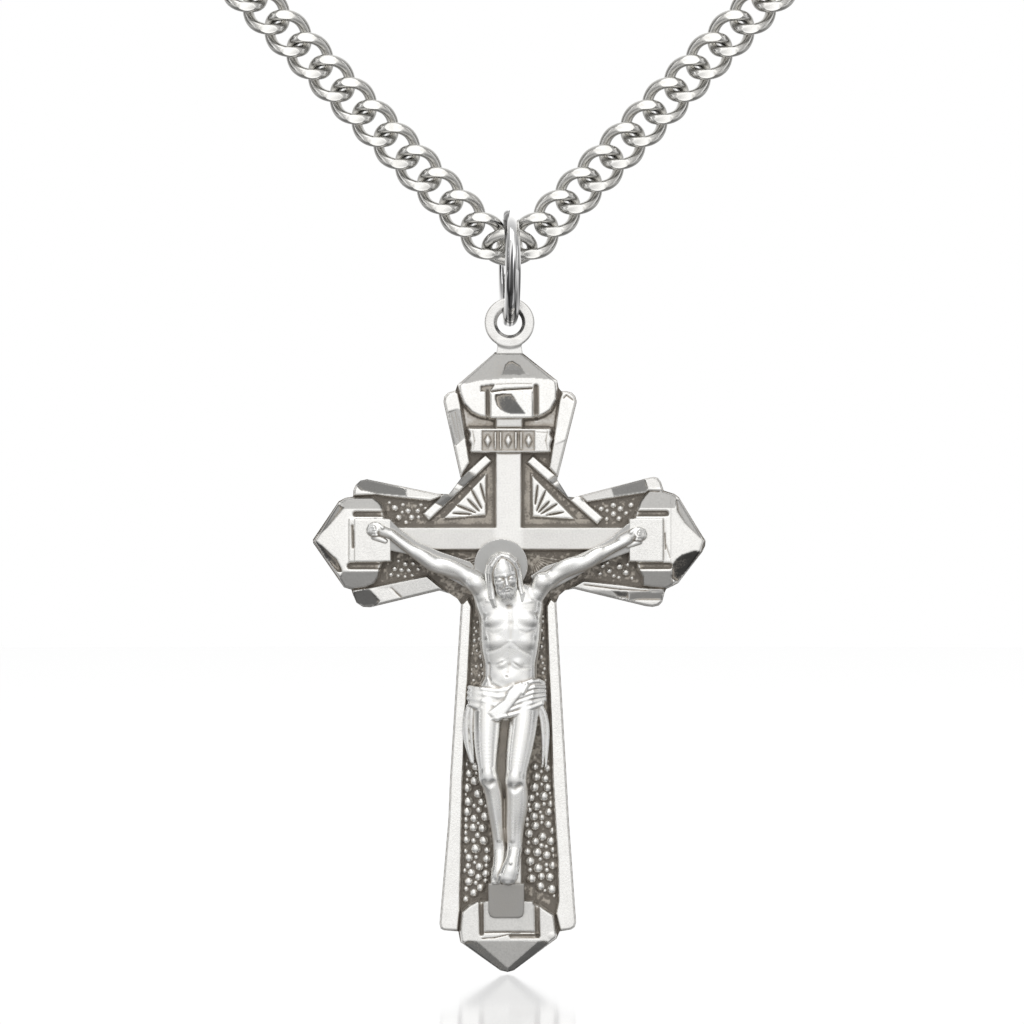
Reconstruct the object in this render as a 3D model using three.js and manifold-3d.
// Crucifix pendant on a jump ring and a diamond-cut curb chain.
// Millimetres, +Z up. The front of the cross faces -Y, +X is to the viewer's right.
// The origin is the middle of the chain's centre link, on which the pendant hangs.
import * as THREE from 'three';
import { ConvexGeometry } from 'three/addons/geometries/ConvexGeometry.js';
import * as BufferGeometryUtils from 'three/addons/utils/BufferGeometryUtils.js';
import Module from 'manifold-3d';

// ---- driving dimensions ------------------------------------------------------------------
const WIRE_D = 0.77;            // curb link wire diameter
const LINK_A = 1.41;            // half length of a link's centre line
const LINK_B = 1.13;            // half width of a link's centre line
const LINK_TWIST = 45;          // end-to-end twist of a link, each way, degrees
const LINK_FLAT = 0.655;        // half thickness left by the diamond-cut flats
const PITCH = 2.02;             // chain pitch
const RUN_SLOPE = 45.9;         // slope of each run, degrees
const LINKS_PER_SIDE = 12;
const CHAIN_Y = -0.195;         // mid plane of the two runs
const FIRST_X = 1.66;           // first link's centre, right of the centre link
const FIRST_Z = 0.69;           // and above it
const CENTRE_A = 1.464;         // centre link: half length of its centre line
const CENTRE_B = 1.20;          // centre link: half width of its centre line
const CENTRE_TILT = 46;         // the centre link leans with its top to the front, degrees
const RING_R = 3.275;           // jump ring centre line radius
const RING_WIRE = 1.0;          // jump ring wire diameter
const RING_Z = -1.373;          // jump ring centre height
const RING_YAW = 4;             // jump ring turned a little off edge-on, degrees
const LOOP_Z = -4.895;          // suspension loop centre height
const LOOP_OUT = 1.61;          // suspension loop outer radius
const LOOP_IN = 0.80;           // suspension loop hole radius
const LOOP_HALF = 0.52;         // suspension loop half thickness
const BACK_Y = 0.60;            // flat back of the cross
const FLOOR_Y = -0.22;          // floor of the textured recesses
const RIM_Y = -0.60;            // top of the outline rims
const BAR_Y = -0.66;            // top of the inner cross
const CAP_Y = -0.92;            // flat face of the end caps
const PANEL_Y = -1.04;          // raised panel on each end cap
const SCROLL_Y = -1.06;         // face of the scroll
const CORPUS_BACK = -0.69;      // back of the figure, just off the inner cross
const CONN_R = 1.30;            // connector ring centre line radius
const CONN_WIRE = 0.52;         // connector ring wire diameter

const SILVER = { color: 0xb9b9b6, roughness: 0.32, metalness: 1.0 };
const BRIGHT = { color: 0xd6d7d8, roughness: 0.12, metalness: 1.0 };
const ANTIQUE = { color: 0x9c9c99, roughness: 0.42, metalness: 1.0 };
const STEEL = { color: 0xc3c4c4, roughness: 0.30, metalness: 1.0 };

const rad = (deg) => (deg * Math.PI) / 180;

// ---- solids: join and cut ------------------------------------------------------------------
const wasm = await Module();
wasm.setup();

function solid(geometry) {
  let g = geometry.index ? geometry.clone() : geometry.clone();
  g.deleteAttribute('normal');
  g.deleteAttribute('uv');
  g = BufferGeometryUtils.mergeVertices(g, 1e-5);
  const mesh = new wasm.Mesh({
    numProp: 3,
    vertProperties: new Float32Array(g.attributes.position.array),
    triVerts: new Uint32Array(g.index.array),
  });
  mesh.merge();
  return new wasm.Manifold(mesh);
}

function geometryOf(manifold) {
  const m = manifold.getMesh();
  const g = new THREE.BufferGeometry();
  const xyz = new Float32Array((m.vertProperties.length / m.numProp) * 3);
  for (let i = 0; i < xyz.length / 3; i++) {
    for (let k = 0; k < 3; k++) xyz[3 * i + k] = m.vertProperties[m.numProp * i + k];
  }
  g.setAttribute('position', new THREE.BufferAttribute(xyz, 3));
  g.setIndex(new THREE.BufferAttribute(new Uint32Array(m.triVerts), 1));
  g.computeVertexNormals();
  return g;
}

function union(list) {
  let out = solid(list[0]);
  for (let i = 1; i < list.length; i++) out = out.add(solid(list[i]));
  return out;
}

// A plate: outline points [x, z], from y = back to y = front (front is the smaller y).
function plate(points, back, front) {
  const shape = new THREE.Shape(points.map(([x, z]) => new THREE.Vector2(x, z)));
  const g = new THREE.ExtrudeGeometry(shape, { depth: back - front, bevelEnabled: false });
  g.rotateX(Math.PI / 2);
  g.translate(0, back, 0);
  return g;
}

// A convex solid through corner points [x, y, z].
function hull(points) {
  return new ConvexGeometry(points.map((p) => new THREE.Vector3(...p)));
}

function flip(geometry) {
  // Mirror in the plane x = 0, keeping the faces outward.
  const g = geometry.clone();
  g.scale(-1, 1, 1);
  const idx = g.index.array;
  for (let i = 0; i < idx.length; i += 3) [idx[i], idx[i + 1]] = [idx[i + 1], idx[i]];
  g.computeVertexNormals();
  return g;
}

// ---- wire shapes ---------------------------------------------------------------------------
class LinkCurve extends THREE.Curve {
  // Centre line of a twisted oval link: x along the chain, y its depth, z its width.
  getPoint(t, target = new THREE.Vector3()) {
    const p = 2 * Math.PI * t;
    const turn = rad(LINK_TWIST) * Math.cos(p);
    const w = LINK_B * Math.sin(p);
    return target.set(LINK_A * Math.cos(p), w * Math.sin(turn), w * Math.cos(turn));
  }
}

class OvalCurve extends THREE.Curve {
  // A flat oval in the X-Z plane, leaning to the front by tilt.
  constructor(a, b, tilt) { super(); this.a = a; this.b = b; this.tilt = rad(tilt); }
  getPoint(t, target = new THREE.Vector3()) {
    const p = 2 * Math.PI * t;
    const w = this.b * Math.sin(p);
    return target.set(this.a * Math.cos(p), -w * Math.sin(this.tilt), w * Math.cos(this.tilt));
  }
}

function wireLoop(curve, radius, steps, sides) {
  return new THREE.TubeGeometry(curve, steps, radius, sides, true);
}

function slab(half) {
  return new THREE.BoxGeometry(8, 2 * half, 8);
}

const group = new THREE.Group();

function add(name, geometry, finish, parent = group) {
  const mesh = new THREE.Mesh(geometry, new THREE.MeshStandardMaterial(finish));
  mesh.name = name;
  parent.add(mesh);
  return mesh;
}

// ---- chain ---------------------------------------------------------------------------------
const linkLeft = geometryOf(
  solid(wireLoop(new LinkCurve(), WIRE_D / 2, 18, 8)).intersect(solid(slab(LINK_FLAT))),
);
const linkRight = flip(linkLeft);

const runs = { left: new THREE.Group(), right: new THREE.Group() };
for (const [side, dir] of [['left', -1], ['right', 1]]) {
  const run = runs[side];
  run.position.set(dir * FIRST_X, CHAIN_Y, FIRST_Z);
  run.rotation.y = rad(-dir * RUN_SLOPE);
  group.add(run);
  for (let i = 0; i < LINKS_PER_SIDE; i++) {
    const n = String(i + 1).padStart(2, '0');
    const m = add(`link_${side}_${n}`, side === 'left' ? linkLeft : linkRight, BRIGHT, run);
    m.position.x = dir * PITCH * i;
  }
}

add('centre_link',
  wireLoop(new OvalCurve(CENTRE_A, CENTRE_B, CENTRE_TILT), WIRE_D / 2, 18, 8), BRIGHT);

// Connector rings at the two chain ends: flat rings square to the last links' end wires.
const CONN_AT = PITCH * (LINKS_PER_SIDE - 1) + LINK_A - WIRE_D / 2 + CONN_R - CONN_WIRE / 2 - 0.02;
for (const [side, dir] of [['left', -1], ['right', 1]]) {
  const g = wireLoop(new OvalCurve(CONN_R, CONN_R, -45), CONN_WIRE / 2, 18, 8);
  const m = add(`connector_ring_${side}`, g, BRIGHT, runs[side]);
  m.position.x = dir * CONN_AT;
}

// ---- clasp on the left end -------------------------------------------------------------------
// Clasp frame: x runs outward along the run, the clasp lies flat facing the front,
// its eye at x = 0.
const EYE_OUT = 1.30;           // eye outer radius
const EYE_IN = 0.84;            // eye hole radius
const EYE_HALF = 0.27;          // eye half thickness
const CLASP_HALF = 0.75;        // body half thickness
const claspAt = CONN_AT + CONN_R + EYE_IN - CONN_WIRE / 2 - 0.14;
const clasp = new THREE.Group();
clasp.position.x = -claspAt;
clasp.rotation.y = Math.PI;            // x now runs outward, away from the pendant
runs.left.add(clasp);

function disc(r, half, n = 24, x = 0, z = 0) {
  const g = new THREE.CylinderGeometry(r, r, 2 * half, n);
  g.translate(x, 0, z);
  return g;
}
{
  // Body outline: eye, shoulder, then a hook that curls round to a nose.
  const outer = new THREE.Shape();
  outer.moveTo(1.0, 0.75);
  outer.bezierCurveTo(1.6, 1.0, 1.9, 1.9, 3.2, 2.1);
  outer.bezierCurveTo(5.6, 2.5, 9.0, 2.2, 9.3, 0.0);
  outer.bezierCurveTo(9.2, -1.7, 7.6, -2.3, 6.5, -2.1);
  outer.lineTo(6.5, -1.15);
  outer.bezierCurveTo(7.6, -1.3, 8.2, -0.8, 8.2, 0.0);
  outer.bezierCurveTo(8.0, 1.1, 6.2, 1.25, 4.6, 1.05);
  outer.bezierCurveTo(3.9, 0.95, 3.5, 0.5, 3.5, -0.2);
  outer.lineTo(3.5, -1.9);
  outer.bezierCurveTo(2.3, -1.9, 1.6, -1.1, 1.0, -0.75);
  outer.closePath();
  const g = new THREE.ExtrudeGeometry(outer, {
    depth: 2 * CLASP_HALF - 0.3, curveSegments: 8,
    bevelEnabled: true, bevelThickness: 0.15, bevelSize: 0.15, bevelOffset: -0.15, bevelSegments: 1,
  });
  g.rotateX(Math.PI / 2);
  g.translate(0, CLASP_HALF - 0.15, 0);
  let body = solid(g).subtract(solid(disc(EYE_OUT - 0.05, 2, 24)));
  body = body.add(solid(disc(EYE_OUT, EYE_HALF, 24))).subtract(solid(disc(EYE_IN, 1.0, 24)));
  // slot for the lever, through the outer side, and the pin hole across it
  const slot = new THREE.BoxGeometry(3.6, 0.74, 2.5);
  slot.translate(3.6, 0, -1.60);
  body = body.subtract(solid(slot));
  body = body.subtract(solid(disc(0.27, 2, 14, 2.55, -1.05)));
  add('clasp_body', geometryOf(body), BRIGHT, clasp);

  // Lever: a curved gate from the pin to the nose, with a thumb tab.
  const lv = new THREE.Shape();
  lv.moveTo(2.10, -0.92);
  lv.lineTo(3.3, -0.98);
  lv.lineTo(6.35, -1.35);
  lv.lineTo(6.35, -1.92);
  lv.lineTo(3.6, -2.05);
  lv.lineTo(2.6, -2.5);
  lv.lineTo(2.2, -3.1);
  lv.lineTo(1.65, -2.95);
  lv.lineTo(2.02, -1.6);
  lv.closePath();
  const lg = new THREE.ExtrudeGeometry(lv, { depth: 0.60, bevelEnabled: false });
  lg.rotateX(Math.PI / 2);
  lg.translate(0, 0.30, 0);
  let lever = solid(lg).subtract(solid(disc(0.25, 2, 14, 2.55, -1.05)));
  add('clasp_lever', geometryOf(lever), BRIGHT, clasp);

  // Leaf spring in the slot, behind the lever, that keeps the gate shut.
  add('clasp_spring', plate([[2.0, -0.50], [4.0, -0.50], [5.1, -1.00], [5.1, -1.14], [5.0, -1.14],
    [3.95, -0.62], [2.0, -0.62]], 0.24, -0.24), STEEL, clasp);

  // Rivet pin through both cheeks and the lever.
  add('clasp_pin', disc(0.22, CLASP_HALF - 0.02, 14, 2.55, -1.05), STEEL, clasp);
}

// ---- end ring on the right end: the eye that the clasp hooks ------------------------------------
{
  const g = new THREE.Shape();
  g.absarc(0, 0, EYE_OUT, 0, 2 * Math.PI, false);
  const h1 = new THREE.Path();
  h1.absarc(0, 0, EYE_IN, 0, 2 * Math.PI, true);
  g.holes.push(h1);
  const small = new THREE.ExtrudeGeometry(g, { depth: 0.54, curveSegments: 12, bevelEnabled: false });
  small.rotateX(Math.PI / 2); small.translate(0, 0.27, 0);
  const s = new THREE.Shape();
  s.absarc(3.30, 0, 2.20, 0, 2 * Math.PI, false);
  const h2 = new THREE.Path();
  h2.absarc(3.30, 0, 1.58, 0, 2 * Math.PI, true);
  s.holes.push(h2);
  const big = new THREE.ExtrudeGeometry(s, { depth: 0.54, curveSegments: 14, bevelEnabled: false });
  big.rotateX(Math.PI / 2); big.translate(0, 0.27, 0);
  const m = add('end_ring', geometryOf(solid(small).add(solid(big))), BRIGHT, runs.right);
  m.position.x = claspAt;
}

// ---- jump ring -----------------------------------------------------------------------------------
{
  const g = new THREE.TorusGeometry(RING_R, RING_WIRE / 2, 10, 36);
  g.rotateY(Math.PI / 2);
  const m = add('jump_ring', g, BRIGHT);
  m.position.set(0, 0, RING_Z);
  m.rotation.z = rad(RING_YAW);
}

// ---- pendant: x across, z measured from the loop centre -------------------------------------------
const pendant = new THREE.Group();
pendant.position.z = LOOP_Z;
group.add(pendant);

// suspension loop: a ring with bevelled edges, its neck soldered to the top point of the cross
{
  const prof = [
    [LOOP_IN + 0.10, -LOOP_HALF], [LOOP_OUT - 0.22, -LOOP_HALF], [LOOP_OUT, -LOOP_HALF + 0.22],
    [LOOP_OUT, LOOP_HALF - 0.22], [LOOP_OUT - 0.22, LOOP_HALF], [LOOP_IN + 0.10, LOOP_HALF],
    [LOOP_IN, LOOP_HALF - 0.12], [LOOP_IN, -LOOP_HALF + 0.12], [LOOP_IN + 0.10, -LOOP_HALF],
  ].map(([r, y]) => new THREE.Vector2(r, y));
  const ring = new THREE.LatheGeometry(prof, 32);
  let m = solid(ring);
  if (m.volume() < 0) throw new Error('loop profile is inside out');
  const neck = plate([[-0.86, -1.99], [0.86, -1.99], [0.72, -1.40], [-0.72, -1.40]], 0.42, -0.42);
  const hole = new THREE.CylinderGeometry(LOOP_IN + 0.12, LOOP_IN + 0.12, 3, 32);
  m = m.add(solid(neck).subtract(solid(hole)));
  add('suspension_loop', geometryOf(m), SILVER, pendant);
}

// Half outline of the cross (x > 0), from the top point down to the bottom point.
const HALF = [
  [0.86, -2.03], [3.12, -3.83], [3.20, -4.42], [3.72, -4.42], [4.30, -5.00], [3.20, -9.94],
  [5.00, -10.90], [9.85, -10.14], [10.0, -11.05], [10.62, -11.20], [12.68, -14.08],
  [10.68, -17.08], [10.0, -17.62], [9.32, -18.38], [5.00, -17.37], [3.10, -17.91],
  [3.78, -29.6], [3.90, -32.2], [4.40, -39.0], [3.72, -39.30], [3.10, -39.70], [0, -41.92],
];
const outline = [...HALF, ...HALF.slice(0, -1).reverse().map(([x, z]) => [-x, z])];
const mirrorX = (pts) => pts.map(([x, z]) => [-x, z]).reverse();

let crossSolid;
{
  const parts = [plate(outline, BACK_Y, FLOOR_Y)];
  // raised rims along the outline
  const rims = [
    [[3.20, -4.42], [3.72, -4.42], [4.30, -5.00], [3.20, -9.94], [2.62, -9.0], [3.33, -5.15]],
    [[5.00, -10.90], [9.85, -10.14], [10.0, -11.10], [8.75, -11.10], [5.00, -11.60], [4.5, -11.2]],
    [[10.0, -17.58], [9.32, -18.38], [5.00, -17.37], [4.5, -17.0], [5.00, -16.42], [8.9, -17.10]],
    [[3.10, -17.91], [3.78, -29.6], [3.90, -32.2], [4.40, -39.0], [3.72, -39.30], [3.20, -39.2],
      [3.16, -32.2], [2.92, -29.6], [2.40, -17.91]],
  ];
  for (const r of rims) {
    parts.push(plate(r, FLOOR_Y + 0.1, RIM_Y));
    parts.push(plate(mirrorX(r), FLOOR_Y + 0.1, RIM_Y));
  }
  // inner cross
  parts.push(plate([[-0.89, -4.6], [0.89, -4.6], [0.89, -37.6], [-0.89, -37.6]], FLOOR_Y + 0.1, BAR_Y));
  parts.push(plate([[-10.4, -13.16], [10.4, -13.16], [10.4, -14.74], [-10.4, -14.74]], FLOOR_Y + 0.1, BAR_Y));
  // corner fields above and below the inner cross bar, a step lower than the bar
  for (const s of [1, -1]) {
    const f = [[0.80, -8.95], [1.35, -8.95], [5.75, -12.75], [5.75, -13.3], [0.80, -13.3]];
    const g = [[0.80, -14.6], [3.0, -14.6], [2.7, -17.2], [0.80, -17.2]];
    parts.push(plate(s > 0 ? f : mirrorX(f), FLOOR_Y + 0.1, FLOOR_Y - 0.14));
    parts.push(plate(s > 0 ? g : mirrorX(g), FLOOR_Y + 0.1, FLOOR_Y - 0.10));
  }
  // scroll
  parts.push(plate([[-2.80, -6.85], [2.80, -6.85], [2.80, -8.42], [-2.80, -8.42]], FLOOR_Y + 0.1, SCROLL_Y));
  // end caps: flat face, sloped facets to the points, raised panel
  const yb = FLOOR_Y + 0.1;
  const topCap = [
    [0, yb, -2.03], [-3.15, yb, -3.95], [3.15, yb, -3.95], [-3.05, yb, -4.9], [3.05, yb, -4.9],
    [0, -0.42, -2.25], [-3.05, -0.42, -3.98], [3.05, -0.42, -3.98],
    [-2.55, CAP_Y, -3.95], [2.55, CAP_Y, -3.95], [-2.80, CAP_Y, -4.75], [2.80, CAP_Y, -4.75],
    [-1.10, CAP_Y, -6.25], [1.10, CAP_Y, -6.25], [-1.3, yb, -6.4], [1.3, yb, -6.4],
    [0, CAP_Y, -3.35],
  ];
  parts.push(hull(topCap));
  parts.push(plate([[-1.25, -4.60], [1.25, -4.60], [1.25, -6.20], [-1.25, -6.20]], CAP_Y + 0.1, PANEL_Y));
  for (const s of [1, -1]) {
    const cap = [
      [12.60, yb, -14.08], [10.62, yb, -11.25], [10.62, yb, -17.02], [9.95, yb, -11.15], [9.95, yb, -17.45],
      [7.95, yb, -13.1], [7.95, yb, -15.2],
      [12.35, -0.42, -14.08], [10.55, -0.42, -11.5], [10.55, -0.42, -16.8],
      [10.25, CAP_Y, -12.0], [10.25, CAP_Y, -16.3], [8.65, CAP_Y, -11.75], [8.65, CAP_Y, -16.6],
      [8.05, CAP_Y, -12.75], [8.05, CAP_Y, -15.4], [11.35, CAP_Y, -14.08],
    ].map(([x, y, z]) => [s * x, y, z]);
    parts.push(hull(cap));
    const pnl = [[8.15, -12.62], [10.42, -12.62], [10.42, -15.46], [8.15, -15.46]];
    parts.push(plate(s > 0 ? pnl : mirrorX(pnl), CAP_Y + 0.1, PANEL_Y));
  }
  const botCap = [
    [0, yb, -41.85], [-3.10, yb, -39.70], [3.10, yb, -39.70], [-3.13, yb, -37.1], [3.13, yb, -37.1],
    [0, -0.42, -41.6], [-3.0, -0.42, -39.72], [3.0, -0.42, -39.72],
    [-2.9, CAP_Y, -39.45], [2.9, CAP_Y, -39.45], [-2.9, CAP_Y, -37.3], [2.9, CAP_Y, -37.3],
    [-1.5, CAP_Y, -39.85], [1.5, CAP_Y, -39.85], [0, -0.62, -40.9],
  ];
  parts.push(hull(botCap));
  parts.push(plate([[-1.6, -37.2], [1.6, -37.2], [1.6, -39.2], [-1.6, -39.2]], CAP_Y + 0.1, PANEL_Y));
  crossSolid = union(parts);
  add('cross_body', geometryOf(crossSolid), ANTIQUE, pendant);
}

// ---- corpus: the applied figure ---------------------------------------------------------------------
{
  const Y = CORPUS_BACK;
  function ball(x, y, z, rx, ry, rz, w = 12, h = 8) {
    const g = new THREE.SphereGeometry(1, w, h);
    g.rotateX(Math.PI / 2);
    g.scale(rx, ry, rz);
    g.translate(x, y, z);
    return g;
  }
  function limb(p, q, r0, r1, squash = 1) {
    // tapered round limb from p to q
    const a = new THREE.Vector3(...p);
    const b = new THREE.Vector3(...q);
    const len = a.distanceTo(b);
    const g = new THREE.CylinderGeometry(r1, r0, len, 10);
    const dir = b.clone().sub(a).normalize();
    g.applyQuaternion(new THREE.Quaternion().setFromUnitVectors(new THREE.Vector3(0, 1, 0), dir));
    g.translate((a.x + b.x) / 2, (a.y + b.y) / 2, (a.z + b.z) / 2);
    if (squash !== 1) { g.translate(0, -a.y, 0); g.scale(1, squash, 1); g.translate(0, a.y, 0); }
    return g;
  }
  const y0 = Y - 0.45;
  const parts = [
    // trunk and hips
    ball(0.05, y0 - 0.25, -19.0, 2.05, 1.05, 2.0),
    ball(0.05, y0 - 0.10, -21.4, 1.62, 0.95, 2.2),
    ball(-0.1, y0 - 0.20, -23.9, 2.15, 1.10, 1.7),
    limb([-0.1, y0 - 0.1, -22.6], [-0.25, y0 - 0.1, -25.6], 2.1, 2.15, 0.55),
    // neck and head
    limb([0, y0 - 0.2, -17.8], [-0.2, y0 - 0.75, -16.9], 0.75, 0.7),
    ball(-0.30, y0 - 0.95, -16.4, 1.12, 1.08, 1.62, 14, 10),
    // arms
    limb([-1.5, y0, -18.0], [-5.1, y0 - 0.1, -15.65], 0.82, 0.60),
    limb([-5.1, y0 - 0.1, -15.65], [-8.4, y0 - 0.1, -13.75], 0.60, 0.40),
    limb([1.5, y0, -17.8], [5.1, y0 - 0.1, -15.45], 0.82, 0.60),
    limb([5.1, y0 - 0.1, -15.45], [8.1, y0 - 0.1, -13.85], 0.60, 0.40),
    ball(-8.72, y0 - 0.1, -13.55, 0.62, 0.45, 0.55, 8, 6),
    ball(8.42, y0 - 0.1, -13.60, 0.62, 0.45, 0.55, 8, 6),
    ball(-1.75, y0, -18.1, 0.95, 0.75, 0.95, 8, 6),
    ball(1.75, y0, -17.9, 0.95, 0.75, 0.95, 8, 6),
    // legs
    limb([-1.05, y0 - 0.15, -25.2], [-1.35, y0 - 0.75, -29.2], 1.02, 0.80),
    limb([-1.35, y0 - 0.75, -29.2], [-0.45, y0 - 0.15, -33.8], 0.80, 0.45),
    limb([0.95, y0 - 0.15, -25.2], [0.35, y0 - 0.75, -29.3], 1.02, 0.80),
    limb([0.35, y0 - 0.75, -29.3], [0.15, y0 - 0.15, -33.8], 0.80, 0.45),
    ball(-1.35, y0 - 0.75, -29.2, 0.82, 0.82, 0.9, 8, 6),
    ball(0.35, y0 - 0.75, -29.3, 0.82, 0.82, 0.9, 8, 6),
    limb([-0.3, y0 - 0.15, -33.6], [-0.2, y0 - 0.5, -36.0], 0.62, 0.72),
    // foot block
    hull([[-1.35, Y, -36.0], [0.95, Y, -36.0], [-1.2, Y, -38.3], [0.8, Y, -38.3],
      [-1.2, Y - 1.0, -36.0], [0.8, Y - 1.0, -36.0], [-1.1, Y - 0.62, -38.2], [0.7, Y - 0.62, -38.2]]),
    // side drapes of the loincloth
    hull([[-2.9, Y, -24.6], [-2.0, Y, -24.6], [-2.35, Y, -28.5], [-1.9, Y, -28.4], [-2.8, Y - 0.8, -24.7],
      [-2.0, Y - 0.8, -24.7], [-2.3, Y - 0.6, -28.3], [-1.9, Y - 0.6, -28.3]]),
    hull([[2.7, Y, -24.2], [1.8, Y, -24.2], [2.55, Y, -28.7], [1.95, Y, -28.5], [2.6, Y - 0.8, -24.3],
      [1.8, Y - 0.8, -24.3], [2.5, Y - 0.6, -28.5], [2.0, Y - 0.6, -28.4]]),
    // halo disc behind the head
    disc(1.74, 0.20, 28, -0.55, -15.27),
  ];
  parts[parts.length - 1].translate(0, Y - 0.2, 0);
  // everything behind the back plane is cut off flat
  const block = new THREE.BoxGeometry(40, 10, 60);
  block.translate(0, Y - 5, -20);
  // the hands and the foot block bed down on the end caps
  const m = union(parts).intersect(solid(block)).subtract(crossSolid.translate([0, -0.02, 0]));
  add('corpus', geometryOf(m), ANTIQUE, pendant);
}

export default group;
